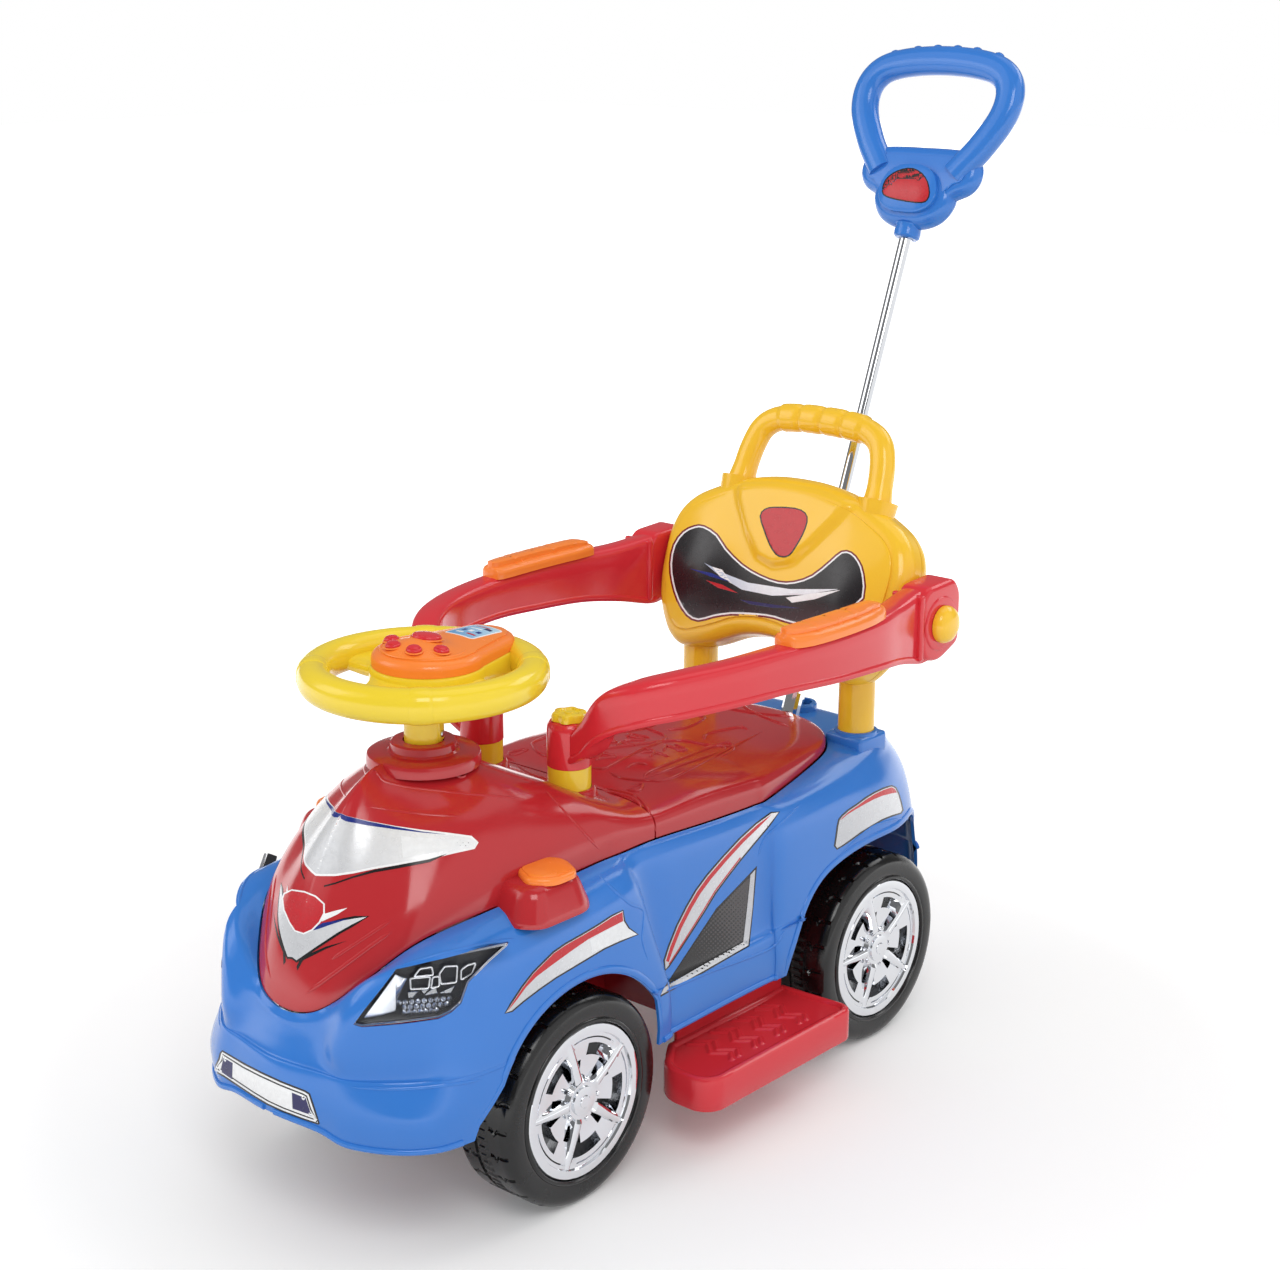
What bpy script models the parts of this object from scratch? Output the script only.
"""A child's push car with guard arms, a backrest, a steering wheel with a play console and a parent's handle.

Metres, +Z up, the nose towards -Y. Every piece is modelled in the car's own frame, where Y is 0 midway
between the axles, and the root empty then moves the whole car so that its footprint is centred on the origin.
"""

import math

import bmesh
import bpy
from mathutils import Matrix, Vector

MM = 0.001
FRAME_SHIFT_Y = -0.0293

# Fits and walls
GAP = 0.0004
SEAM_GAP = 0.0016
WALL = 0.0028

# Wheels and axles
WHEELBASE = 0.388
AXLE_Z = 0.085
WHEEL_X = 0.105
TYRE_WIDTH = 0.060
RIM_RADIUS = 0.063
AXLE_RADIUS = 0.005
WHEEL_STEPS = 18
WHEEL_WALL = 0.0035
HUB_RADIUS = 0.0120
TYRE_RADIUS = AXLE_Z / math.cos(math.pi / WHEEL_STEPS)
FRONT_AXLE_Y = -WHEELBASE / 2
REAR_AXLE_Y = WHEELBASE / 2

# Steering
COLUMN_Y = -0.229
COLUMN_RADIUS = 0.0148
ROD_RADIUS = 0.0060
STEERING_Y = -0.2275
STEERING_Z = 0.408
STEERING_RADIUS = 0.0830
STEERING_TUBE = 0.0127
COLLAR_TOP_Z = 0.356

# Posts, guard arms and backrest
FRONT_POST = Vector((0.0484, -0.1180, 0.3190))
FRONT_POST_RADIUS = 0.0173
REAR_POST = Vector((0.0887, 0.211, 0.2740))
REAR_POST_RADIUS = 0.016
REAR_POST_TOP = 0.3640
ARM_PIVOT = Vector((0.150, 0.222, 0.384))
PIN_RADIUS = 0.0076
BACKREST_LEAN = math.radians(21.0)
BACKREST_FOOT = Vector((0.0, 0.1870, 0.3440))

# Push pole, which leans as the backrest does
POLE_RADIUS = 0.0063
POLE_FOOT = Vector((0.0, 0.239, 0.282))
POLE_DEPTH = 0.030
POLE_LENGTH = 0.440

# Seat lid
SEAT_JOINT_Y = -0.0825
SEAT_HINGE_Z = 0.2895

BLUE = (0.050, 0.212, 0.624)
RED = (0.479, 0.032, 0.037)
BRIGHT_RED = (0.694, 0.044, 0.060)
YELLOW = (0.888, 0.558, 0.047)
LEMON = (0.863, 0.651, 0.045)
ORANGE = (0.947, 0.254, 0.045)
BLACK = (0.012, 0.012, 0.013)
CHROME = (0.78, 0.79, 0.80)
STEEL = (0.45, 0.46, 0.47)
CLEAR = (0.86, 0.88, 0.90)
GREEN = (0.02, 0.16, 0.06)


def clear_scene():
    for obj in list(bpy.data.objects):
        bpy.data.objects.remove(obj, do_unlink=True)


def new_collection(name):
    collection = bpy.data.collections.new(name)
    bpy.context.scene.collection.children.link(collection)
    return collection


def plastic(name, colour, roughness=0.25, metallic=0.0):
    material = bpy.data.materials.new(name)
    material.use_nodes = True
    shader = material.node_tree.nodes["Principled BSDF"]
    shader.inputs["Base Color"].default_value = (*colour, 1.0)
    shader.inputs["Roughness"].default_value = roughness
    shader.inputs["Metallic"].default_value = metallic
    material.diffuse_color = (*colour, 1.0)
    return material


clear_scene()
PARTS = new_collection("push_car")
CUTTERS = new_collection("push_car_cutters")


class Joint:
    """An empty on a joint's axis, which carries the pieces that move together."""

    def __init__(self, name, place, parent=None):
        self.place = Vector(place)
        self.empty = bpy.data.objects.new(name, None)
        self.empty.empty_display_size = 0.02
        PARTS.objects.link(self.empty)
        if parent:
            self.empty.parent = parent.empty
            self.empty.location = self.place - parent.place

    def carry(self, obj):
        obj.parent = self.empty
        obj.matrix_parent_inverse = Matrix.Translation(-self.place)


def place(obj, name, material, joint):
    """Names a finished piece, gives it its material and hangs it on its joint."""
    obj.name = name
    obj.data.name = name
    obj.data.materials.clear()
    obj.data.materials.append(material)
    joint.carry(obj)
    return obj


def object_of(name, bm, collection=None):
    bmesh.ops.remove_doubles(bm, verts=bm.verts, dist=1e-6)
    mesh = bpy.data.meshes.new(name)
    bm.to_mesh(mesh)
    bm.free()
    mesh.shade_smooth()
    mesh.set_sharp_from_angle(angle=math.radians(35))
    obj = bpy.data.objects.new(name, mesh)
    (collection or PARTS).objects.link(obj)
    return obj


def as_cutter(obj):
    for collection in list(obj.users_collection):
        collection.objects.unlink(obj)
    CUTTERS.objects.link(obj)
    obj.hide_render = True
    obj.display_type = "WIRE"
    return obj


def combine(obj, other, operation="DIFFERENCE"):
    """Joins a helper shape to a piece, or cuts it out, with a Boolean."""
    modifier = obj.modifiers.new(other.name, "BOOLEAN")
    modifier.operation = operation
    modifier.solver = "MANIFOLD"
    modifier.object = as_cutter(other)
    root.carry(other)
    return obj


def baked(obj):
    """Replaces a piece by the mesh that its modifiers or its curve make, with the caps welded on."""
    bpy.context.view_layer.update()
    evaluated = obj.evaluated_get(bpy.context.evaluated_depsgraph_get())
    mesh = bpy.data.meshes.new_from_object(evaluated)
    bm = bmesh.new()
    bm.from_mesh(mesh)
    bm.transform(obj.matrix_world)
    name = obj.name
    bpy.data.objects.remove(obj, do_unlink=True)
    return object_of(name, bm)


def solidify(obj, thickness=WALL):
    modifier = obj.modifiers.new("wall", "SOLIDIFY")
    modifier.thickness = thickness
    modifier.offset = -1.0
    modifier.use_rim = True
    return obj


def mirror(obj):
    modifier = obj.modifiers.new("mirror", "MIRROR")
    modifier.use_clip = True
    modifier.merge_threshold = 0.0001
    return obj


def box(low, high, round_edges=0.0, segments=2):
    """A box between two corners, its edges rounded where a radius is given."""
    low, high = Vector(low), Vector(high)
    bm = bmesh.new()
    bmesh.ops.create_cube(bm, size=1.0)
    bmesh.ops.scale(bm, vec=high - low, verts=bm.verts)
    bmesh.ops.translate(bm, vec=(low + high) / 2, verts=bm.verts)
    if round_edges:
        bmesh.ops.bevel(bm, geom=bm.edges, offset=round_edges, segments=segments, affect="EDGES",
                        profile=0.5, clamp_overlap=True)
    return object_of("box", bm)


AXIS_TURN = {
    "Z": Matrix.Identity(4),
    "X": Matrix.Rotation(math.radians(90), 4, "Y"),
    "Y": Matrix.Rotation(math.radians(-90), 4, "X"),
}


def turned(profile, centre, axis="Z", steps=16, closed=False, phase=0.0):
    """Turns a (radius, height) profile, listed down its outer side, about an axis through centre."""
    bm = bmesh.new()
    verts = [bm.verts.new((radius, 0.0, height)) for radius, height in profile]
    for first, second in zip(verts, verts[1:]):
        bm.edges.new((first, second))
    if closed:
        bm.edges.new((verts[-1], verts[0]))
    obj = object_of("turned", bm)
    screw = obj.modifiers.new("turn", "SCREW")
    screw.axis = "Z"
    screw.steps = steps
    screw.render_steps = steps
    screw.use_merge_vertices = True
    screw.merge_threshold = 0.0001
    screw.use_smooth_shade = True
    if isinstance(axis, str):
        turn = AXIS_TURN[axis]
    else:
        turn = Vector((0, 0, 1)).rotation_difference(axis).to_matrix().to_4x4()
    obj.matrix_world = Matrix.Translation(Vector(centre)) @ turn @ Matrix.Rotation(phase, 4, "Z")
    return baked(obj)


def rod(radius, start, end, steps=16, chamfer=0.0):
    """A plain or chamfered rod between two points."""
    start, end = Vector(start), Vector(end)
    length = (end - start).length
    profile = [(0.0, length)]
    if chamfer:
        profile += [(radius - chamfer, length), (radius, length - chamfer)]
        profile += [(radius, chamfer), (radius - chamfer, 0.0)]
    else:
        profile += [(radius, length), (radius, 0.0)]
    profile += [(0.0, 0.0)]
    return turned(profile, start, axis=(end - start).normalized(), steps=steps)


def pipe(outer, inner, start, end, steps=16):
    """A tube with an open bore between two points."""
    start, end = Vector(start), Vector(end)
    length = (end - start).length
    profile = [(outer, length), (outer, 0.0), (inner, 0.0), (inner, length)]
    return turned(profile, start, axis=(end - start).normalized(), steps=steps, closed=True)


def outline_solid(points, thickness, to_world, round_edges=0.0, holes=(), resolution=0):
    """A flat outline drawn as a filled 2D curve, thickened both ways and set in place by a matrix."""
    data = bpy.data.curves.new("outline", "CURVE")
    data.dimensions = "2D"
    data.fill_mode = "BOTH"
    data.extrude = thickness / 2 - round_edges
    data.bevel_depth = round_edges
    data.bevel_resolution = resolution
    data.offset = -round_edges
    for loop in (points, *holes):
        spline = data.splines.new("POLY")
        spline.points.add(len(loop) - 1)
        spline.use_cyclic_u = True
        for point, (x, y) in zip(spline.points, loop):
            point.co = (x, y, 0.0, 1.0)
    obj = bpy.data.objects.new("outline", data)
    PARTS.objects.link(obj)
    obj.matrix_world = to_world
    return baked(obj)


def tube(points, radius, resolution=1):
    """A round bar along a list of points."""
    data = bpy.data.curves.new("tube", "CURVE")
    data.dimensions = "3D"
    data.bevel_depth = radius
    data.bevel_resolution = resolution
    data.use_fill_caps = True
    spline = data.splines.new("POLY")
    spline.points.add(len(points) - 1)
    for point, place_at in zip(spline.points, points):
        point.co = (*place_at, 1.0)
    obj = bpy.data.objects.new("tube", data)
    PARTS.objects.link(obj)
    return baked(obj)


def plane_matrix(origin, across, up):
    """A frame whose X runs across, whose Y runs up and whose Z is the outward normal."""
    across, up = Vector(across).normalized(), Vector(up).normalized()
    normal = across.cross(up)
    turn = Matrix((across, up, normal)).transposed().to_4x4()
    return Matrix.Translation(Vector(origin)) @ turn


def arc(centre, radius, start, end, count):
    """Points on an arc, angles in degrees."""
    return [
        (centre[0] + radius * math.cos(math.radians(start + (end - start) * i / (count - 1))),
         centre[1] + radius * math.sin(math.radians(start + (end - start) * i / (count - 1))))
        for i in range(count)
    ]


def catmull(before, start, end, after, t):
    """The uniform Catmull-Rom curve between start and end."""
    return 0.5 * (
        2.0 * start
        + (end - before) * t
        + (2.0 * before - 5.0 * start + 4.0 * end - after) * t * t
        + (3.0 * start - before - 3.0 * end + after) * t * t * t
    )


def along(values, t):
    """A smooth curve through a list of numbers or vectors, read at station t."""
    i = min(int(t), len(values) - 2)
    start, end = values[i], values[i + 1]
    before = values[i - 1] if i > 0 else 2 * start - end
    after = values[i + 2] if i + 2 < len(values) else 2 * end - start
    return catmull(before, start, end, after, t - i)


def flipped(point):
    return Vector((-point.x, point.y, point.z))


def smooth_path(points, per_span):
    """A smooth list of points through a few control points."""
    points = [Vector(p) for p in points]
    count = (len(points) - 1) * per_span
    return [along(points, i / per_span) for i in range(count + 1)]


def surface(shape, columns, rows):
    """An open sheet: a grid whose points are set by shape(u, v), with u and v from 0 to 1."""
    bm = bmesh.new()
    bmesh.ops.create_grid(bm, x_segments=columns, y_segments=rows, size=0.5)
    for vert in bm.verts:
        vert.co = shape(vert.co.x + 0.5, vert.co.y + 0.5)
    return bm


def face_away(bm, centre):
    """Turns an open sheet so that its faces look away from a point inside it."""
    bm.normal_update()
    if sum(f.normal.dot(f.calc_center_median() - Vector(centre)) * f.calc_area() for f in bm.faces) < 0:
        bmesh.ops.reverse_faces(bm, faces=bm.faces)
    return bm


# The body skin is a loft of sections. A section runs from its lip, at the bottom edge, to its seam, where the
# bonnet or the seat begins. A profile says how far across, along and up each level lies between the two. The
# first three levels stand on the bumper, whose top is at FOOT_Z, and the others share the height above it.
FOOT_Z = 0.152
PROFILES = {
    "nose": (
        (0, 0, 0), (0, -0.11, 0.45), (0.1, 0.15, 0.92), (0.2, 0.37, 1),
        (0.4, 0.63, 0.41), (0.6, 0.78, 0.69), (0.8, 0.85, 0.83), (0.9, 0.93, 0.92), (1, 1, 1),
    ),
    "lamp": (
        (0, 0, 0), (-0.12, -0.03, 0.45), (0.06, 0.12, 0.92), (0.24, 0.15, 1),
        (0.4, 0.05, 0.33), (0.06, 0.33, 0.88), (0.1, 0.68, 1.14), (0.5, 0.86, 1.12), (1, 1, 1),
    ),
    "cheek": (
        (0, 0, 0), (-0.1, -0.02, 0.45), (0.14, 0.14, 0.92), (0.24, 0.18, 1),
        (0.05, 0.38, 0.27), (-0.05, 0.70, 0.84), (0.12, 0.85, 0.98), (0.55, 0.93, 1.02), (1, 1, 1),
    ),
    "fender": (
        (0, 0, 0), (-0.05, 0, 0.45), (0, 0.02, 0.92), (0.03, 0.03, 1),
        (0.08, 0.24, 0.26), (0.16, 0.60, 0.70), (0.36, 0.78, 0.88), (0.67, 0.90, 0.965), (1, 1, 1),
    ),
    "door": (
        (0, 0, 0), (0, 0, 0.40), (0.10, 0.02, 0.78), (0.32, 0.03, 0.94),
        (0.45, 0.24, 0.26), (0.53, 0.60, 0.70), (0.63, 0.78, 0.88), (0.80, 0.90, 0.96), (1, 1, 1),
    ),
    "tail": (
        (0, 0, 0), (-0.03, -0.04, 0.45), (-0.02, -0.03, 0.92), (0, -0.02, 1),
        (0.04, 0.04, 0.30), (0.14, 0.14, 0.64), (0.30, 0.30, 0.87), (0.46, 0.46, 0.975), (1, 1, 1),
    ),
}
LEVELS = 9

# One row a section, from the nose back along the side to the tail, in millimetres: its profile, its lip, its
# seam, the (y, z) of the spine that it faces on the bonnet or the seat, and how square the crown between is.
SECTIONS = (
    ("nose", (0, -393, 108), (0, -366, 181), (-282, 346), 1.8),
    ("nose", (46, -386, 105), (31, -345, 188), (-276, 347), 1.8),
    ("lamp", (75, -378, 99), (58, -318, 214), (-262, 347), 1.85),
    ("cheek", (112, -350, 96), (80, -290, 238), (-246, 346), 1.95),
    ("fender", (130, -312, 97), (98, -262, 252), (-226, 345), 2.1),
    ("fender", (137, -205, 99), (103, -214, 255), (-200, 340), 2.3),
    ("fender", (132, -100, 100), (106, -150, 259), (-158, 318), 3.0),
    ("door", (128, -88, 101), (108, -122, 260), (-128, 302), 3.8),
    ("door", (128, -60, 102), (109, -82.5, 260.5), (-82.5, 288), 4.5),
    ("door", (128, -10, 103), (110, -16, 257), (-16, 289), 4.5),
    ("door", (128, 42, 103), (110, 40, 255), (40, 285), 4.5),
    ("fender", (131, 57, 103), (109, 66, 256), (66, 283), 4.4),
    ("fender", (133, 150, 104), (94, 150, 264), (130, 281), 4.0),
    ("tail", (130, 228, 104), (78, 184, 266), (158, 280), 3.4),
    ("tail", (103, 287, 106), (56, 204, 267), (172, 279), 3.0),
    ("tail", (58, 298, 108), (28, 215, 268), (180, 278), 2.8),
    ("tail", (0, 301, 108), (0, 218, 268), (182, 278), 2.8),
)
SEAT_STATION = 8
LAST_STATION = len(SECTIONS) - 1


def section_points(row):
    """The levels of one section, from lip to seam."""
    profile, lip, seam = PROFILES[row[0]], Vector(row[1]) * MM, Vector(row[2]) * MM
    points = []
    for level, (across, lengthwise, up) in enumerate(profile):
        foot = lip.z + up * (FOOT_Z - lip.z)
        upper = FOOT_Z + up * (seam.z - FOOT_Z)
        points.append(Vector((
            lip.x + across * (seam.x - lip.x),
            lip.y + lengthwise * (seam.y - lip.y),
            foot if level < 4 else upper,
        )))
    return points


HALF_SECTIONS = [section_points(row) for row in SECTIONS]
LOOP_SECTIONS = (
    [[flipped(p) for p in HALF_SECTIONS[1]]] + HALF_SECTIONS + [[flipped(p) for p in HALF_SECTIONS[-2]]]
)
SPINE = [Vector((0.0, row[3][0] * MM, row[3][1] * MM)) for row in SECTIONS]
CROWN = [row[4] for row in SECTIONS]


def body_point(station, level):
    """A point of the body skin, at a station from 0 to LAST_STATION and a level from 0 to LEVELS - 1."""
    i = min(int(station), LAST_STATION - 1)
    near = [catmull(*(LOOP_SECTIONS[i + k][n] for k in range(4)), station - i) for n in range(LEVELS)]
    point = along(near, level)
    if station in (0, LAST_STATION):
        point.x = 0.0
    return point


def crown_point(station, rise):
    """A point of the bonnet or the seat: a rounded arch from the body's seam, at rise 0, to the spine."""
    seam = body_point(station, LEVELS - 1)
    top = along(SPINE, station)
    inward = (top - seam)
    inward.z = 0.0
    foot = seam + inward.normalized() * SEAM_GAP
    foot.z += 0.0006
    if station in (0, LAST_STATION):
        foot.x = 0.0
    power = 2.0 / along(CROWN, station)
    turn = rise * math.pi / 2
    across = 1.0 - max(math.cos(turn), 0.0) ** power
    up = math.sin(turn) ** power
    return Vector((
        foot.x + (top.x - foot.x) * across,
        foot.y + (top.y - foot.y) * across,
        foot.z + (top.z - foot.z) * up,
    ))


# Joints
root = Joint("push_car", (0, 0, 0))
steering = Joint("steering_axis", (0, COLUMN_Y, AXLE_Z), root)
seat_hinge = Joint("seat_hinge_axis", (0, SEAT_JOINT_Y, SEAT_HINGE_Z), root)
pole_slide = Joint("pole_axis", POLE_FOOT, root)
POLE_AXIS = Vector((0.0, math.sin(BACKREST_LEAN), math.cos(BACKREST_LEAN)))

blue = plastic("blue_plastic", BLUE, 0.22)
red = plastic("red_plastic", RED, 0.2)
bright_red = plastic("bright_red_plastic", BRIGHT_RED, 0.25)
yellow = plastic("yellow_plastic", YELLOW, 0.28)
lemon = plastic("lemon_plastic", LEMON, 0.28)
orange = plastic("orange_plastic", ORANGE, 0.3)
tyre_black = plastic("tyre_plastic", BLACK, 0.35)
chrome = plastic("chrome_trim", CHROME, 0.08, 1.0)
steel = plastic("steel_rod", STEEL, 0.25, 1.0)
clear = plastic("clear_lens", CLEAR, 0.05)
board_green = plastic("circuit_green", GREEN, 0.4)
black_plastic = plastic("black_plastic", BLACK, 0.4)


# Wheel arches, as outlines in the (y, z) plane
FRONT_ARCH = (
    [(-0.106, 0.080), (-0.106, 0.112)]
    + arc((FRONT_AXLE_Y, AXLE_Z), 0.1005, 33, 152, 9)
    + [(-0.306, 0.108), (-0.316, 0.080)]
)
REAR_ARCH = (
    [(0.2835, 0.080), (0.2835, 0.140)]
    + arc((0.255, 0.160), 0.0285, 0, 90, 4)
    + [(0.180, 0.1885), (0.134, 0.1825), (0.106, 0.172), (0.086, 0.153), (0.069, 0.124), (0.060, 0.101)]
    + [(0.055, 0.080)]
)
ARCH_PLANE = Matrix(((0, 0, 1, 0), (1, 0, 0, 0), (0, 1, 0, 0), (0, 0, 0, 1)))


def arch_cutter(outline, side):
    """The opening of a wheel arch, cut through the side of the skin only."""
    to_world = Matrix.Translation((side * 0.130, 0, 0)) @ ARCH_PLANE
    return outline_solid(outline, 0.100, to_world)


# Headlights: a lens over a reflector, set in an opening of the nose
LAMP_CORNERS = (
    (0.0735, -0.3700, 0.1930),
    (0.1150, -0.3150, 0.1935),
    (0.1225, -0.2900, 0.2370),
    (0.0780, -0.3350, 0.2260),
)


def lamp_frame(side):
    """The plane of one headlight and its corners in that plane."""
    corners = [Vector((side * x, y, z)) for x, y, z in LAMP_CORNERS]
    middle = sum(corners, Vector()) / 4
    across = (corners[1] - corners[0]) * side
    up = (corners[3] + corners[2] - corners[0] - corners[1])
    normal = across.cross(up).normalized()
    up = normal.cross(across)
    to_world = plane_matrix(middle, across, up)
    back = to_world.inverted()
    flat = [(back @ c).xy for c in corners]
    return to_world, flat


def lamp_outline(side, margin):
    """The headlight's outline, with its edges bowed out a little and grown or shrunk by a margin."""
    _, flat = lamp_frame(side)
    middle = sum(flat, Vector((0, 0))) / 4
    points = []
    for start, end in zip(flat, flat[1:] + flat[:1]):
        edge = end - start
        outward = Vector((edge.y, -edge.x)).normalized()
        if outward.dot((start + end) / 2 - middle) < 0:
            outward = -outward
        for step in (0.0, 0.5):
            point = start + edge * step + outward * LAMP_BOW * math.sin(math.pi * step)
            points.append(point + (point - middle).normalized() * margin)
    return [tuple(p) for p in points]


def lamp_slice(side, margin, low, high):
    """A slab of the headlight's outline between two depths, measured outwards from its plane."""
    to_world, _ = lamp_frame(side)
    shifted = to_world @ Matrix.Translation((0, 0, (low + high) / 2))
    return outline_solid(lamp_outline(side, margin), high - low, shifted)


LAMP_BOW = 0.0022

MIRROR_LOW = Vector((0.096, -0.259, 0.2390))
MIRROR_HIGH = Vector((0.1345, -0.186, 0.2760))


def mirror_block(side, grow):
    """The red block on the fender that carries the orange indicator."""
    low = Vector((MIRROR_LOW.x - grow, MIRROR_LOW.y - grow, MIRROR_LOW.z - grow))
    high = Vector((MIRROR_HIGH.x + grow, MIRROR_HIGH.y + grow, MIRROR_HIGH.z + grow))
    obj = box(low, high)
    for vert in obj.data.vertices:
        rise = (vert.co.z - low.z) / (high.z - low.z)
        vert.co.y += 0.014 * rise if vert.co.y < -0.22 else -0.006 * rise
        vert.co.x -= 0.006 * rise if vert.co.x > 0.12 else 0.0
        vert.co.x *= side
    bm = bmesh.new()
    bm.from_mesh(obj.data)
    bmesh.ops.recalc_face_normals(bm, faces=bm.faces)
    if not grow:
        bmesh.ops.bevel(bm, geom=bm.edges, offset=0.003, segments=1, affect="EDGES", profile=0.5)
    bm.to_mesh(obj.data)
    bm.free()
    return obj


# Where the sheets have their columns: twice a section at the round corners, once along the straight sides
BODY_COLUMNS = [0, 0.5, 1, 1.5, 2, 2.5, 3, 3.5, 4, 5, 6, 7, 8, 9, 10, 11, 12, 13, 13.5, 14, 15, 16]
BONNET_COLUMNS = [0, 0.5, 1, 1.5, 2, 3, 4, 5, 6, 7, 8]
SEAT_COLUMNS = [8, 9, 10, 11, 12, 13, 14, 15, 16]


def station_at(columns, u):
    return columns[round(u * (len(columns) - 1))]


COLLAR_HALF, POLE_COLLAR_RADIUS = 0.0198, 0.0150
COLLAR_FOOT_Z = 0.2560
POLE_COLLAR_Y = 0.2480


def body_shell():
    bm = surface(lambda u, v: body_point(station_at(BODY_COLUMNS, u), v * (LEVELS - 1)),
                 len(BODY_COLUMNS) - 1, LEVELS - 1)
    obj = solidify(mirror(object_of("skin", face_away(bm, (0, 0, 0.15)))))
    for side in (-1, 1):
        x, y = side * REAR_POST.x, REAR_POST.y
        low = (x - COLLAR_HALF, y - COLLAR_HALF, COLLAR_FOOT_Z)
        combine(obj, box(low, (x + COLLAR_HALF, y + COLLAR_HALF, REAR_POST.z)), "UNION")
    pole_collar = rod(POLE_COLLAR_RADIUS, (0, POLE_COLLAR_Y, COLLAR_FOOT_Z), (0, POLE_COLLAR_Y, REAR_POST.z))
    combine(obj, pole_collar, "UNION")
    for side in (-1, 1):
        x, y = side * REAR_POST.x, REAR_POST.y
        combine(obj, rod(REAR_POST_RADIUS + GAP, (x, y, 0.20), (x, y, 0.30)))
        combine(obj, arch_cutter(FRONT_ARCH, side))
        combine(obj, arch_cutter(REAR_ARCH, side))
        combine(obj, lamp_slice(side, 0.0, -0.014, 0.020))
        combine(obj, mirror_block(side, 0.0006))
    combine(obj, rod(POLE_RADIUS + 0.0035, POLE_FOOT - POLE_AXIS * 0.06, POLE_FOOT + POLE_AXIS * 0.06))
    return place(obj, "body_shell", blue, root)


def bonnet():
    bm = surface(lambda u, v: crown_point(station_at(BONNET_COLUMNS, u), v), len(BONNET_COLUMNS) - 1, 6)
    for vert in bm.verts:
        vert.co.y = min(vert.co.y, SEAT_JOINT_Y - 0.0010)
    obj = solidify(mirror(object_of("crown", face_away(bm, (0, -0.2, 0.2)))))
    column = (0, COLUMN_Y, 0)
    collar = [(0.0, COLLAR_TOP_Z), (0.0235, COLLAR_TOP_Z), (0.0250, 0.3480), (0.0425, 0.3475),
              (0.0440, 0.3455), (0.0440, 0.3400), (0.0, 0.3400)]
    combine(obj, turned(collar, column), "UNION")
    for side in (-1, 1):
        foot = Vector((side * FRONT_POST.x, FRONT_POST.y, 0))
        boss = [(0.0, 0.3000), (0.0205, 0.3000), (0.0225, 0.2980), (0.0235, 0.2850), (0.0, 0.2850)]
        combine(obj, turned(boss, foot), "UNION")
        combine(obj, mirror_block(side, 0.0), "UNION")
    combine(obj, rod(COLUMN_RADIUS + 0.0006, (0, COLUMN_Y, 0.30), (0, COLUMN_Y, 0.37)))
    for side in (-1, 1):
        foot = Vector((side * FRONT_POST.x, FRONT_POST.y, 0))
        combine(obj, rod(FRONT_POST_RADIUS + GAP, foot + Vector((0, 0, 0.25)), foot + Vector((0, 0, 0.31))))
        x, y = side * INDICATOR.x, INDICATOR.y
        combine(obj, rod(0.0118, (x, y, INDICATOR.z - 0.0065), (x, y, INDICATOR.z + 0.0135)))
    return place(obj, "bonnet", red, root)


def seat_lid():
    """The seat, which is also the lid of the storage well. Its rear is lifted by a finger notch."""
    bm = surface(lambda u, v: crown_point(station_at(SEAT_COLUMNS, u), v), len(SEAT_COLUMNS) - 1, 6)
    for vert in bm.verts:
        vert.co.y = max(vert.co.y, SEAT_JOINT_Y + 0.0010)
    obj = solidify(mirror(object_of("seat", face_away(bm, (0, 0.05, 0.2)))))
    combine(obj, rod(0.012, (0, 0.2160, 0.2560), (0, 0.2160, 0.2720), 10))
    return place(obj, "seat_lid", red, seat_hinge)


CHASSIS_FLOOR = 0.108
CHASSIS_WALL = 0.003
TUNNEL_X, WELL_X, REAR_X = 0.044, 0.100, 0.068
BULKHEAD_Y, REAR_WELL_Y = -0.072, 0.100
CHASSIS_FRONT_Y, CHASSIS_REAR_Y = -0.318, 0.262


def chassis_outline(inset):
    """The plan of the chassis pan: a narrow nose between the front wheels, a wide well and a narrow tail."""
    half = [
        (TUNNEL_X - inset, CHASSIS_FRONT_Y + inset),
        (TUNNEL_X - inset, BULKHEAD_Y + inset),
        (WELL_X - inset, BULKHEAD_Y + inset),
        (WELL_X - inset, REAR_WELL_Y - inset),
        (REAR_X - inset, REAR_WELL_Y - inset),
        (REAR_X - inset, CHASSIS_REAR_Y - inset),
    ]
    return half + [(-x, y) for x, y in reversed(half)]


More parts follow.
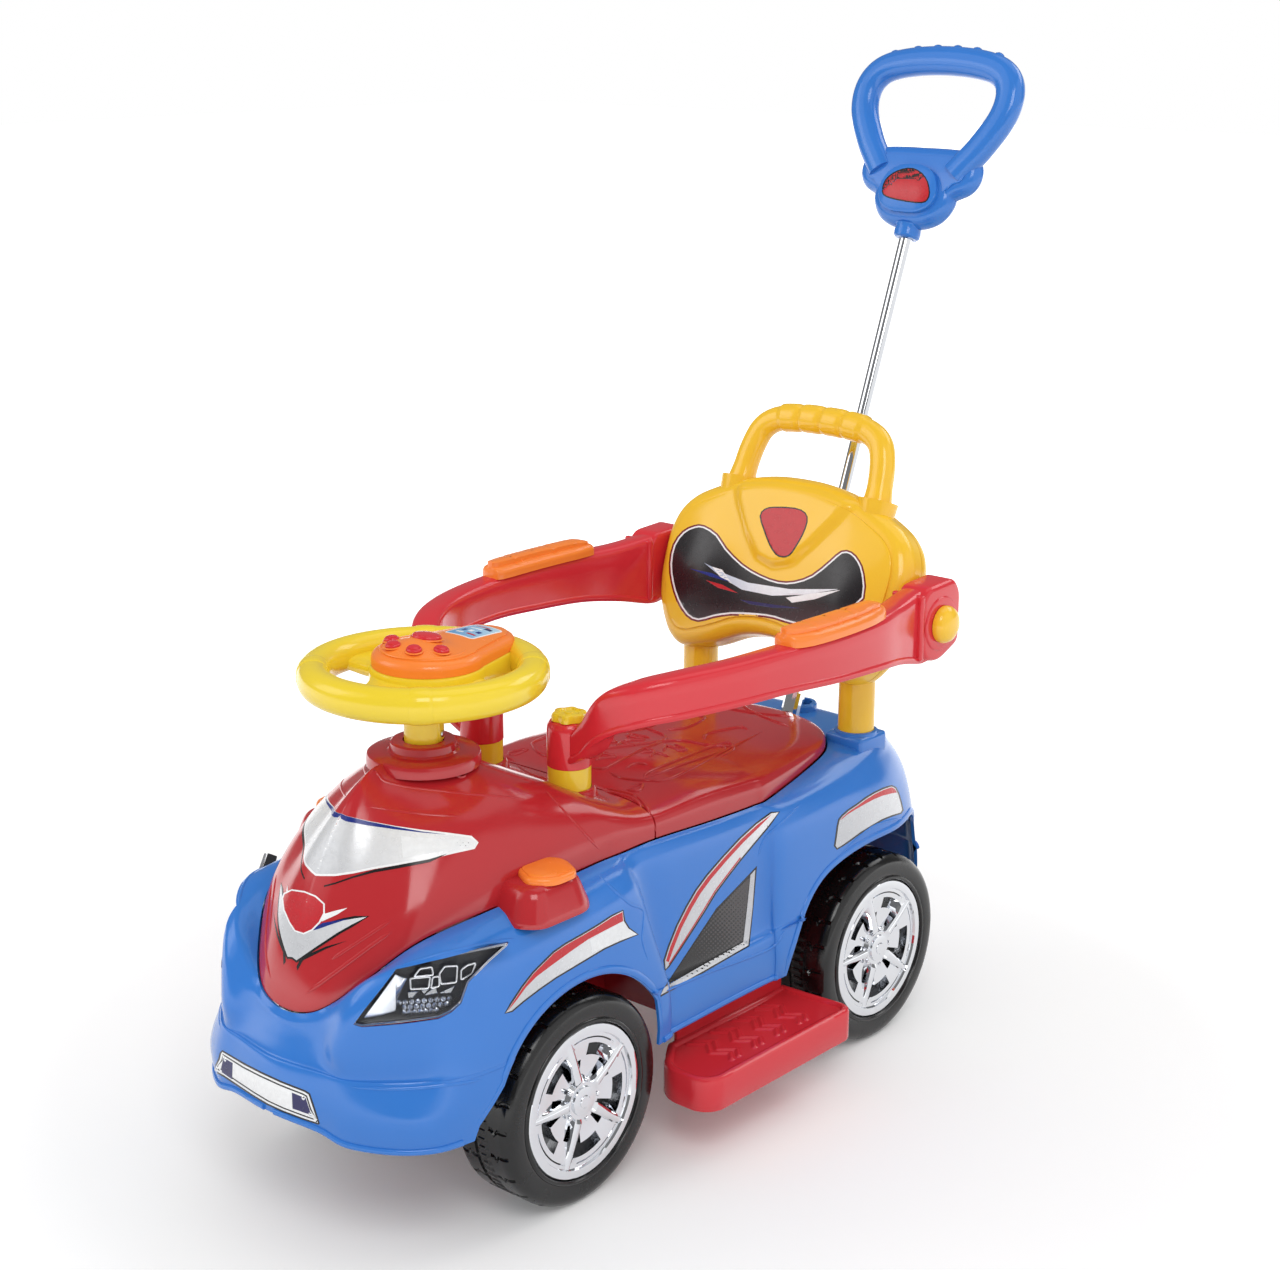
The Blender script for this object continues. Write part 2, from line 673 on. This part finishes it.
def chassis_base():
    """The red pan that joins both axles. Its middle is the storage well under the seat."""
    top = 0.2440
    middle = Matrix.Translation((0, 0, (top + CHASSIS_FLOOR) / 2))
    obj = outline_solid(chassis_outline(0.0), top - CHASSIS_FLOOR, middle)
    hollow_top = top + 0.01
    for low_y, high_y, half in (
        (CHASSIS_FRONT_Y, -0.176, TUNNEL_X),
        (-0.179, BULKHEAD_Y + CHASSIS_WALL, TUNNEL_X),
        (BULKHEAD_Y, 0.176, None),
        (0.182, CHASSIS_REAR_Y, REAR_X),
    ):
        base = CHASSIS_FLOOR + CHASSIS_WALL
        if half:
            half -= CHASSIS_WALL
            cavity = box((-half, low_y + CHASSIS_WALL, base), (half, high_y - CHASSIS_WALL, hollow_top))
        else:
            wide = WELL_X - CHASSIS_WALL
            narrow = REAR_X - CHASSIS_WALL
            step_y = REAR_WELL_Y - CHASSIS_WALL
            plan = [(wide, low_y + CHASSIS_WALL), (wide, step_y), (narrow, step_y), (narrow, high_y)]
            plan += [(-x, y) for x, y in reversed(plan)]
            middle = Matrix.Translation((0, 0, (hollow_top + base) / 2))
            cavity = outline_solid(plan, hollow_top - base, middle)
        combine(obj, cavity)
    low_front = box((-0.06, -0.330, 0.1750), (0.06, -0.262, hollow_top))
    combine(obj, low_front)
    for side in (-1, 1):
        for lug_x in (0.030, 0.058):
            low = (side * lug_x - 0.004, REAR_AXLE_Y - 0.014, 0.0740)
            lug = box(low, (side * lug_x + 0.004, REAR_AXLE_Y + 0.014, CHASSIS_FLOOR + 0.001))
            combine(obj, lug, "UNION")
    combine(obj, rod(AXLE_RADIUS + 0.0005, (-0.08, REAR_AXLE_Y, AXLE_Z), (0.08, REAR_AXLE_Y, AXLE_Z)))
    bush = rod(0.013, (0, COLUMN_Y, CHASSIS_FLOOR + 0.001), (0, COLUMN_Y, 0.150))
    combine(obj, bush, "UNION")
    combine(obj, rod(ROD_RADIUS + 2 * GAP, (0, COLUMN_Y, 0.09), (0, COLUMN_Y, 0.17)))
    return place(obj, "chassis_base", red, root)


def footrest(side, name):
    """A moulded step: a rimmed tray with chevron ribs and a flange that stands behind the skirt."""
    inner = WELL_X + GAP
    plan = (
        [(inner, -0.058), (0.106, -0.064), (0.148, -0.0925)]
        + arc((0.163, -0.0820), 0.0110, -90, 0, 4)
        + arc((0.163, 0.0890), 0.0110, 0, 90, 4)
        + [(inner, 0.0960)]
    )
    plan = [(side * x, y) for x, y in plan]
    obj = outline_solid(plan, 0.030, Matrix.Translation((0, 0, 0.060)), round_edges=0.0025)
    shrink = [(side * (0.1370 + (abs(x) - 0.1370) * 0.86), 0.002 + (y - 0.002) * 0.93) for x, y in plan]
    combine(obj, outline_solid(shrink, 0.012, Matrix.Translation((0, 0, 0.0760))))
    combine(obj, outline_solid(shrink, 0.030, Matrix.Translation((0, 0, 0.0520))))
    for index in range(3):
        y = -0.045 + 0.042 * index
        chevron = [(0.112, y), (0.136, y + 0.018), (0.160, y)]
        chevron += [(a, b + 0.006) for a, b in reversed(chevron)]
        rib = outline_solid([(side * a, b) for a, b in chevron], 0.0050, Matrix.Translation((0, 0, 0.0715)))
        combine(obj, rib, "UNION")
    walls = sorted((side * inner, side * 0.1040))
    flange = box((walls[0], -0.050, 0.062), (walls[1], 0.090, 0.1300))
    combine(obj, flange, "UNION")
    return place(obj, name, bright_red, root)


def wheel_joint(name, side, axle_y, parent):
    return Joint(name, (side * WHEEL_X, axle_y, AXLE_Z), parent)


def tyre(name, side, axle_y, joint):
    """A hollow moulded tyre: flat tread, round shoulders, a dish for the hubcap and a bored hub."""
    half = TYRE_WIDTH / 2
    r = TYRE_RADIUS
    bore = AXLE_RADIUS + 0.0004
    wall = WHEEL_WALL
    profile = [
        (bore, half - 0.0150), (RIM_RADIUS - 0.002, half - 0.0150), (RIM_RADIUS + 0.0005, half),
        (r - 0.008, half - 0.0010), (r, half - 0.0120), (r, -half + 0.0120), (r - 0.008, -half + 0.0010),
        (r - 0.012, -half + 0.0010), (r - wall, -half + 0.0130), (r - wall, half - 0.0130),
        (RIM_RADIUS + wall, half - wall), (RIM_RADIUS + 0.001, half - 0.0150 - wall),
        (HUB_RADIUS, half - 0.0150 - wall), (HUB_RADIUS, -half + 0.0050), (bore, -half + 0.0050),
    ]
    if side < 0:
        profile = [(radius, -height) for radius, height in reversed(profile)]
    centre = (side * WHEEL_X, axle_y, AXLE_Z)
    obj = turned(profile, centre, "X", WHEEL_STEPS, closed=True, phase=math.pi / WHEEL_STEPS)
    return place(obj, name, tyre_black, joint)


def hubcap(name, side, axle_y, joint):
    """A plated hubcap: a rim ring, five broad spokes with open windows between them and a domed centre."""
    windows = []
    for spoke in range(5):
        start = 72 * spoke + 90
        outer = arc((0, 0), 0.0520, start + 12, start + 60, 3)
        windows.append(outer + arc((0, 0), 0.0245, start + 48, start + 24, 2))
    face_x = WHEEL_X + TYRE_WIDTH / 2 - 0.0075
    to_world = plane_matrix((side * face_x, axle_y, AXLE_Z), (0, side, 0), (0, 0, 1))
    obj = outline_solid(arc((0, 0), 0.0560, 0, 340, 18), 0.0040, to_world, holes=windows)
    hub = turned([(0.0, 0.0060), (0.0125, 0.0042), (0.0150, -0.0050), (0.0, -0.0050)], (0, 0, 0), steps=10)
    ring = turned([(0.0590, 0.0062), (0.0612, 0.0050), (0.0606, -0.0014), (0.0545, -0.0014)],
                  (0, 0, 0), steps=18, closed=True)
    for extra in (hub, ring):
        extra.matrix_world = to_world
        combine(obj, baked(extra), "UNION")
    return place(obj, name, chrome, joint)


def front_axle_bracket():
    """The moulded crosshead that joins the steering rod to the front axle."""
    obj = box((-0.060, FRONT_AXLE_Y - 0.014, 0.0730), (0.060, FRONT_AXLE_Y + 0.014, 0.1010))
    arm = box((-0.016, COLUMN_Y - 0.016, 0.0830), (0.016, FRONT_AXLE_Y, 0.1040))
    combine(obj, arm, "UNION")
    combine(obj, rod(AXLE_RADIUS + GAP, (-0.08, FRONT_AXLE_Y, AXLE_Z), (0.08, FRONT_AXLE_Y, AXLE_Z)))
    combine(obj, rod(ROD_RADIUS + GAP, (0, COLUMN_Y, 0.0870), (0, COLUMN_Y, 0.12)))
    return place(obj, "front_axle_bracket", black_plastic, steering)


def axle(name, axle_y, joint):
    end = WHEEL_X + 0.0130
    obj = rod(AXLE_RADIUS, (-end, axle_y, AXLE_Z), (end, axle_y, AXLE_Z), 12, 0.001)
    return place(obj, name, steel, joint)


def steering_column():
    obj = pipe(COLUMN_RADIUS, ROD_RADIUS + GAP, (0, COLUMN_Y, 0.3100), (0, COLUMN_Y, 0.3900))
    return place(obj, "steering_column", lemon, steering)


def steering_rod():
    obj = rod(ROD_RADIUS, (0, COLUMN_Y, 0.0875), (0, COLUMN_Y, 0.3880), 12, 0.001)
    return place(obj, "steering_rod", steel, steering)


CONSOLE_Z = 0.4150


def console_plan(margin):
    """The console's outline: a round nose and a long lobe that reaches towards the driver."""
    front, lobe = 0.0440 + margin, 0.0270 + margin
    return [(x, y) for x, y in arc((0, -0.2220), front, 150, 390, 12) + arc((0, -0.1660), lobe, 20, 160, 6)]


def steering_wheel():
    """The wheel: a thick rim, a hub pan under the console and two side spokes."""
    ring = arc((STEERING_RADIUS, 0), STEERING_TUBE, 90, -225, 8)
    obj = turned(ring, (0, STEERING_Y, STEERING_Z), "Z", 22, closed=True)
    pan = outline_solid(console_plan(-0.003), 0.0220, Matrix.Translation((0, 0, CONSOLE_Z - 0.0125)))
    combine(obj, pan, "UNION")
    for side in (-1, 1):
        ends = sorted((side * 0.030, side * STEERING_RADIUS))
        spoke = box((ends[0], -0.236, 0.3980), (ends[1], -0.208, 0.4120), 0.003, 1)
        combine(obj, spoke, "UNION")
    combine(obj, rod(0.0210, (0, COLUMN_Y, 0.3860), (0, COLUMN_Y, 0.4000)), "UNION")
    combine(obj, rod(COLUMN_RADIUS + GAP, (0, COLUMN_Y, 0.3700), (0, COLUMN_Y, 0.3905)))
    well = outline_solid(console_plan(-0.007), 0.0200, Matrix.Translation((0, 0, 0.4060 + 0.0100)))
    combine(obj, well)
    return place(obj, "steering_wheel", lemon, steering)


HORN_BUTTON = Vector((0.0, -0.2150, 0.4310))
TUNE_BUTTONS = (Vector((-0.0240, -0.2340, 0.4310)), Vector((-0.0085, -0.2470, 0.4310)),
                Vector((0.0120, -0.2440, 0.4310)), Vector((0.0250, -0.2290, 0.4310)))


def console_housing():
    """The orange cover of the play console, open below, with a hole for each button."""
    top, bottom = 0.4310, CONSOLE_Z - 0.0005
    middle = Matrix.Translation((0, 0, (top + bottom) / 2))
    obj = outline_solid(console_plan(0.0), top - bottom, middle, 0.0040)
    inside = outline_solid(console_plan(-0.0055), 0.0200, Matrix.Translation((0, 0, top - WALL - 0.0100)))
    combine(obj, inside)
    rim_top = STEERING_Z + STEERING_TUBE + 0.0006
    combine(obj, box((-0.05, -0.1620, bottom - 0.005), (0.05, -0.1300, rim_top)))
    combine(obj, rod(0.0090 + GAP, HORN_BUTTON - Vector((0, 0, 0.02)), HORN_BUTTON + Vector((0, 0, 0.02))))
    for spot in TUNE_BUTTONS:
        combine(obj, rod(0.0050 + GAP, spot - Vector((0, 0, 0.02)), spot + Vector((0, 0, 0.02)), 8))
    return place(obj, "console_housing", orange, steering)


def button(name, spot, radius, steps):
    """A domed push button with a flange under the cover."""
    joint = Joint(name + "_axis", spot, steering)
    flange = radius + 0.0012
    profile = [(0.0, 0.0050), (radius * 0.7, 0.0044), (radius, 0.0028), (radius, -0.0034), (flange, -0.0034),
               (flange, -0.0050), (0.0, -0.0050)]
    return place(turned(profile, spot, "Z", steps), name, bright_red, joint)


def console_inside():
    board = outline_solid(console_plan(-0.0100), 0.0016, Matrix.Translation((0, 0, 0.4215)))
    place(board, "circuit_board", board_green, steering)
    cone = [(0.0, 0.4195), (0.0130, 0.4195), (0.0130, 0.4165), (0.0070, 0.4110), (0.0, 0.4110)]
    place(turned(cone, (0, -0.1830, 0)), "speaker", black_plastic, steering)
    for index, x in enumerate((-0.0110, 0.0110)):
        cell = rod(0.0052, (x, -0.2440, 0.4125), (x, -0.2000, 0.4125), 10, 0.0008)
        place(cell, f"battery_{index + 1}", steel, steering)


def headlight(side, word):
    """A clear lens over a plated reflector with stepped cells."""
    reflector = lamp_slice(side, -0.0016, -0.0090, -0.0040)
    to_world, _ = lamp_frame(side)
    half = Vector((0.0075, 0.0060, 0.0))
    for row in range(2):
        for column in range(2):
            spot = Vector((-0.010 + 0.020 * column, -0.009 + 0.017 * row, 0.0))
            cell = box(spot - half - Vector((0, 0, 0.0055)), spot + half - Vector((0, 0, 0.0015)))
            cell.matrix_world = to_world
            combine(reflector, baked(cell), "UNION")
    place(reflector, f"headlight_reflector_{word}", chrome, root)
    lens = lamp_slice(side, -0.0006, -0.0008, 0.0020)
    place(lens, f"headlight_lens_{word}", clear, root)


INDICATOR = Vector((0.1140, -0.2200, 0.2768))


def indicator(side, word):
    profile = [(0.0, 0.0105), (0.0080, 0.0095), (0.0130, 0.0060), (0.0140, 0.0010), (0.0114, 0.0006),
               (0.0112, -0.0040), (0.0, -0.0040)]
    cap = turned(profile, (side * INDICATOR.x, INDICATOR.y, INDICATOR.z))
    for vert in cap.data.vertices:
        if vert.co.z > INDICATOR.z:
            vert.co.x = side * INDICATOR.x + (vert.co.x - side * INDICATOR.x) * 0.88
    return place(cap, f"indicator_{word}", orange, root)


def front_post(side, word):
    spot = Vector((side * FRONT_POST.x, FRONT_POST.y, 0.0))
    z = FRONT_POST.z
    profile = [(0.0, z + 0.0165), (0.0100, z + 0.0165), (0.0115, z + 0.0140), (0.0118, z),
               (FRONT_POST_RADIUS, z), (FRONT_POST_RADIUS, 0.2620), (0.0, 0.2620)]
    return place(turned(profile, spot), f"front_post_{word}", lemon, root)


# The guard arm's stations, right side: middle of the section across, its lower and its upper edge
ARM_STATIONS = (
    ((0.0560, -0.1180), 0.3200, 0.3470),
    ((0.0740, -0.1200), 0.3310, 0.3640),
    ((0.0920, -0.1210), 0.3500, 0.3880),
    ((0.1160, -0.1130), 0.3640, 0.3990),
    ((0.1370, -0.0880), 0.3700, 0.4050),
    ((0.1530, -0.0480), 0.3730, 0.4080),
    ((0.1620, 0.0040), 0.3735, 0.4100),
    ((0.1660, 0.0600), 0.3700, 0.4105),
    ((0.1640, 0.1200), 0.3660, 0.4110),
    ((0.1560, 0.1620), 0.3600, 0.4120),
    ((0.1500, 0.1960), 0.3520, 0.4150),
    ((0.1500, 0.2480), 0.3520, 0.4160),
)
ARM_STOPS = (0, 1, 2, 3, 4, 5, 6, 7, 8, 9, 10, 11)
ARM_HALF_WIDTH = 0.0135


def arm_section(point, low, high, heading, half_width):
    """A chamfered upright section, square to the arm's run in plan."""
    across = Vector((heading.y, -heading.x, 0.0)).normalized()
    c = 0.0045
    w = half_width
    ring = ((w, low + c), (w, high - c), (w - c, high), (c - w, high),
            (-w, high - c), (-w, low + c), (c - w, low), (w - c, low))
    return [Vector((point.x, point.y, z)) + across * x for x, z in ring]


def arm_loft(side, stops, inset=0.0, lower=0.0):
    """The arm's run between two stops or, with an inset, the channel moulded up into it from below."""
    spine = [Vector((x, y, 0.0)) for (x, y), _, _ in ARM_STATIONS]
    lows = [low - lower for _, low, _ in ARM_STATIONS]
    highs = [high - inset for _, _, high in ARM_STATIONS]
    bm = bmesh.new()
    rings = []
    for t in stops:
        heading = along(spine, min(t + 0.1, len(spine) - 1)) - along(spine, max(t - 0.1, 0.0))
        ring = arm_section(along(spine, t), along(lows, t), along(highs, t), heading, ARM_HALF_WIDTH - inset)
        rings.append([bm.verts.new((side * p.x, p.y, p.z)) for p in ring])
    for first, second in zip(rings, rings[1:]):
        for i in range(8):
            bm.faces.new((first[i], first[(i + 1) % 8], second[(i + 1) % 8], second[i]))
    bm.faces.new(rings[0])
    bm.faces.new(rings[-1])
    bmesh.ops.recalc_face_normals(bm, faces=bm.faces)
    return object_of("arm", bm)


def guard_arm(side, word, joint):
    """A moulded arm from the post socket round the child's side to the pivot block, hollow from below."""
    obj = arm_loft(side, ARM_STOPS)
    combine(obj, arm_loft(side, ARM_STOPS[2:-1], inset=0.0035, lower=0.0120))
    socket = Vector((side * FRONT_POST.x, FRONT_POST.y, 0.0))
    combine(obj, rod(0.0178, socket + Vector((0, 0, 0.3196)), socket + Vector((0, 0, 0.3550))), "UNION")
    y, z = ARM_PIVOT.yz
    combine(obj, rod(0.0225, (side * 0.1400, y, z), (side * 0.1665, y, z)), "UNION")
    bore = turned([(0.0, 0.3385), (0.0135, 0.3385), (0.0150, 0.3100), (0.0, 0.3100)], socket)
    combine(obj, bore)
    combine(obj, rod(0.0056, socket + Vector((0, 0, 0.33)), socket + Vector((0, 0, 0.36)), 10))
    combine(obj, rod(PIN_RADIUS + 0.0006, (side * 0.120, y, z), (side * 0.180, y, z), 12))
    return place(obj, f"guard_arm_{word}", bright_red, joint)


def arm_pad(side, word, joint):
    """The orange grip that snaps onto the top of the arm."""
    plan = [(0.1500, 0.0040), (0.1560, -0.0050), (0.1640, -0.0050), (0.1730, 0.0040), (0.1775, 0.0620),
            (0.1750, 0.1180), (0.1660, 0.1280), (0.1570, 0.1280), (0.1540, 0.1180), (0.1540, 0.0600)]
    plan = [(side * x, y) for x, y in plan]
    obj = outline_solid(plan, 0.0070, Matrix.Translation((0, 0, 0.4113 + GAP + 0.0035)), 0.0020)
    return place(obj, f"arm_pad_{word}", orange, joint)


def pivot_cap(side, word):
    """The yellow cap and its pin, which hold the arm to the side of the backrest."""
    profile = [(0.0, 0.1765), (0.0060, 0.1760), (0.0110, 0.1735), (0.0140, 0.1690), (0.0140, 0.1671),
               (PIN_RADIUS, 0.1671), (PIN_RADIUS, 0.1180), (0.0, 0.1180)]
    axis = Vector((side, 0, 0))
    return place(turned(profile, (0, ARM_PIVOT.y, ARM_PIVOT.z), axis, 12), f"pivot_cap_{word}", yellow, root)


KNOB_RADIUS, KNOB_LOBE = 0.0132, 0.0012


def lock_knob(side, word, parent):
    """The star knob that locks the arm's socket to its post with a quarter turn."""
    spot = Vector((side * FRONT_POST.x, FRONT_POST.y, 0.0))
    joint = Joint(f"lock_axis_{word}", spot + Vector((0, 0, 0.3560)), parent)
    star = []
    for degrees in range(0, 360, 20):
        angle = math.radians(degrees)
        radius = KNOB_RADIUS + KNOB_LOBE * math.cos(6 * angle)
        star.append((radius * math.cos(angle), radius * math.sin(angle)))
    obj = outline_solid(star, 0.0060, Matrix.Translation(spot + Vector((0, 0, 0.3584))))
    combine(obj, rod(0.0050, spot + Vector((0, 0, 0.3390)), spot + Vector((0, 0, 0.3570)), 10), "UNION")
    return place(obj, f"lock_knob_{word}", lemon, joint)


BACKREST_THICKNESS = 0.044
BACKREST_MIDDLE = 0.068
BACKREST_UP = Vector((0.0, math.sin(BACKREST_LEAN), math.cos(BACKREST_LEAN)))
BACKREST_BACK = Vector((0.0, math.cos(BACKREST_LEAN), -math.sin(BACKREST_LEAN)))


def backrest_outline(inset=0.0):
    """The backrest seen square on: two rounded lobes below, broad shoulders and a crest for the handle."""
    half = [
        (0.0, 0.0060), (0.0300, 0.0020), (0.0620, -0.0120), (0.0900, -0.0190), (0.1040, -0.0130),
        (0.1150, 0.0010), (0.1240, 0.0180), (0.1305, 0.0400), (0.1330, 0.0640), (0.1325, 0.0860),
        (0.1260, 0.1050), (0.1140, 0.1180), (0.0980, 0.1260), (0.0720, 0.1350), (0.0500, 0.1450),
        (0.0250, 0.1495), (0.0, 0.1505),
    ]
    scale_x, scale_y = 1 - inset / 0.133, 1 - inset / 0.085
    half = [(x * scale_x, BACKREST_MIDDLE + (y - BACKREST_MIDDLE) * scale_y) for x, y in half]
    return half + [(-x, y) for x, y in reversed(half[1:-1])]


def backrest_shell(name, near, far, with_handle):
    """One half of the backrest, between two depths behind its front plane."""
    middle = BACKREST_FOOT + BACKREST_BACK * ((near + far) / 2)
    to_world = plane_matrix(middle, (1, 0, 0), BACKREST_UP)
    obj = outline_solid(backrest_outline(), far - near, to_world, 0.006)
    inward = 1 if near == 0.0 else -1
    hollow = plane_matrix(middle + BACKREST_BACK * (inward * 0.0035), (1, 0, 0), BACKREST_UP)
    combine(obj, outline_solid(backrest_outline(0.0040), far - near, hollow))
    if with_handle:
        half = [(0.0580, 0.1300, 0), (0.0560, 0.1600, 0), (0.0500, 0.1920, 0), (0.0360, 0.2060, 0)]
        loop = smooth_path([(-x, y, z) for x, y, z in half] + [(0.0, 0.2085, 0)] + half[::-1], 2)
        axis = plane_matrix(BACKREST_FOOT + BACKREST_BACK * (far - 0.0100), (1, 0, 0), BACKREST_UP)
        combine(obj, tube([axis @ p for p in loop], 0.0095), "UNION")
    for side in (-1, 1):
        x, y = side * REAR_POST.x, REAR_POST.y
        combine(obj, rod(REAR_POST_RADIUS + GAP, (x, y, 0.28), (x, y, REAR_POST_TOP + GAP)))
        pin = Vector((side * 0.117, ARM_PIVOT.y, ARM_PIVOT.z))
        combine(obj, rod(0.0076 + GAP, pin, pin + Vector((side * 0.06, 0, 0)), 12))
    return place(obj, name, yellow, root)


def backrest_post(side, word):
    x, y = side * REAR_POST.x, REAR_POST.y
    post = pipe(REAR_POST_RADIUS, REAR_POST_RADIUS - WALL, (x, y, 0.2460), (x, y, REAR_POST_TOP))
    return place(post, f"backrest_post_{word}", yellow, root)


def pole_socket():
    """The socket under the rear deck that the push pole slides into."""
    start, end = POLE_FOOT - POLE_AXIS * (POLE_DEPTH + 0.012), POLE_FOOT + POLE_AXIS * 0.002
    obj = rod(POLE_RADIUS + 0.0030, start, end, 16)
    bottom = POLE_FOOT - POLE_AXIS * (POLE_DEPTH + GAP)
    combine(obj, rod(POLE_RADIUS + GAP, bottom, POLE_FOOT + POLE_AXIS * 0.03))
    return place(obj, "pole_socket", black_plastic, root)


def push_pole():
    start = POLE_FOOT - POLE_AXIS * POLE_DEPTH
    end = POLE_FOOT + POLE_AXIS * (POLE_LENGTH + 0.030)
    return place(pipe(POLE_RADIUS, POLE_RADIUS - 0.0012, start, end), "push_pole", chrome, pole_slide)


HANDLE_FOOT = POLE_FOOT + POLE_AXIS * POLE_LENGTH
HANDLE_BACK = Vector((0.0, math.cos(BACKREST_LEAN), -math.sin(BACKREST_LEAN)))


def handle_hub_outline():
    """The handle's hub: a rounded shield with two shoulder lobes over a narrow collar."""
    half = [
        (0.0, 0.0), (0.0180, 0.0010), (0.0300, 0.0060), (0.0390, 0.0150), (0.0435, 0.0270), (0.0450, 0.0380),
        (0.0560, 0.0450), (0.0610, 0.0560), (0.0580, 0.0680), (0.0450, 0.0750), (0.0220, 0.0800),
        (0.0, 0.0810),
    ]
    return half + [(-x, y) for x, y in reversed(half[1:-1])]


def push_handle_half(name, near, far, with_loop):
    middle = HANDLE_FOOT + HANDLE_BACK * ((near + far) / 2)
    to_world = plane_matrix(middle, (1, 0, 0), POLE_AXIS)
    obj = outline_solid(handle_hub_outline(), far - near, to_world, 0.005)
    if with_loop:
        half = [(0.0440, 0.0560, 0), (0.0620, 0.0760, 0), (0.0780, 0.1060, 0), (0.0820, 0.1280, 0),
                (0.0660, 0.1500, 0), (0.0340, 0.1590, 0)]
        loop = smooth_path([(-x, y, z) for x, y, z in half] + [(0.0, 0.1620, 0)] + half[::-1], 2)
        axis = plane_matrix(HANDLE_FOOT - HANDLE_BACK * 0.0116, (1, 0, 0), POLE_AXIS)
        combine(obj, tube([axis @ p for p in loop], 0.0110), "UNION")
    combine(obj, rod(POLE_RADIUS + GAP, HANDLE_FOOT - POLE_AXIS * 0.02, HANDLE_FOOT + POLE_AXIS * 0.0305, 16))
    return place(obj, name, blue, pole_slide)


def build():
    body_shell()
    bonnet()
    seat_lid()
    chassis_base()
    axle("front_axle", FRONT_AXLE_Y, steering)
    axle("rear_axle", REAR_AXLE_Y, root)
    front_axle_bracket()
    steering_rod()
    steering_column()
    steering_wheel()
    console_housing()
    console_inside()
    button("horn_button", HORN_BUTTON, 0.0090, 12)
    for index, spot in enumerate(TUNE_BUTTONS):
        button(f"tune_button_{index + 1}", spot, 0.0050, 8)
    for word, side in (("left", -1), ("right", 1)):
        footrest(side, f"footrest_{word}")
        headlight(side, word)
        indicator(side, word)
        for end, axle_y, carrier in (("front", FRONT_AXLE_Y, steering), ("rear", REAR_AXLE_Y, root)):
            joint = wheel_joint(f"wheel_axis_{end}_{word}", side, axle_y, carrier)
            tyre(f"tyre_{end}_{word}", side, axle_y, joint)
            hubcap(f"hubcap_{end}_{word}", side, axle_y, joint)
        front_post(side, word)
        arm_joint = Joint(f"arm_axis_{word}", (side * ARM_PIVOT.x, ARM_PIVOT.y, ARM_PIVOT.z), root)
        guard_arm(side, word, arm_joint)
        arm_pad(side, word, arm_joint)
        lock_knob(side, word, arm_joint)
        pivot_cap(side, word)
        backrest_post(side, word)
    backrest_shell("backrest_front", 0.0, BACKREST_THICKNESS / 2 - GAP / 2, False)
    backrest_shell("backrest_rear", BACKREST_THICKNESS / 2 + GAP / 2, BACKREST_THICKNESS, True)
    pole_socket()
    push_pole()
    push_handle_half("push_handle_front", -0.0200, -GAP / 2, True)
    push_handle_half("push_handle_rear", GAP / 2, 0.0120, False)
    root.empty.location.y = FRAME_SHIFT_Y


build()
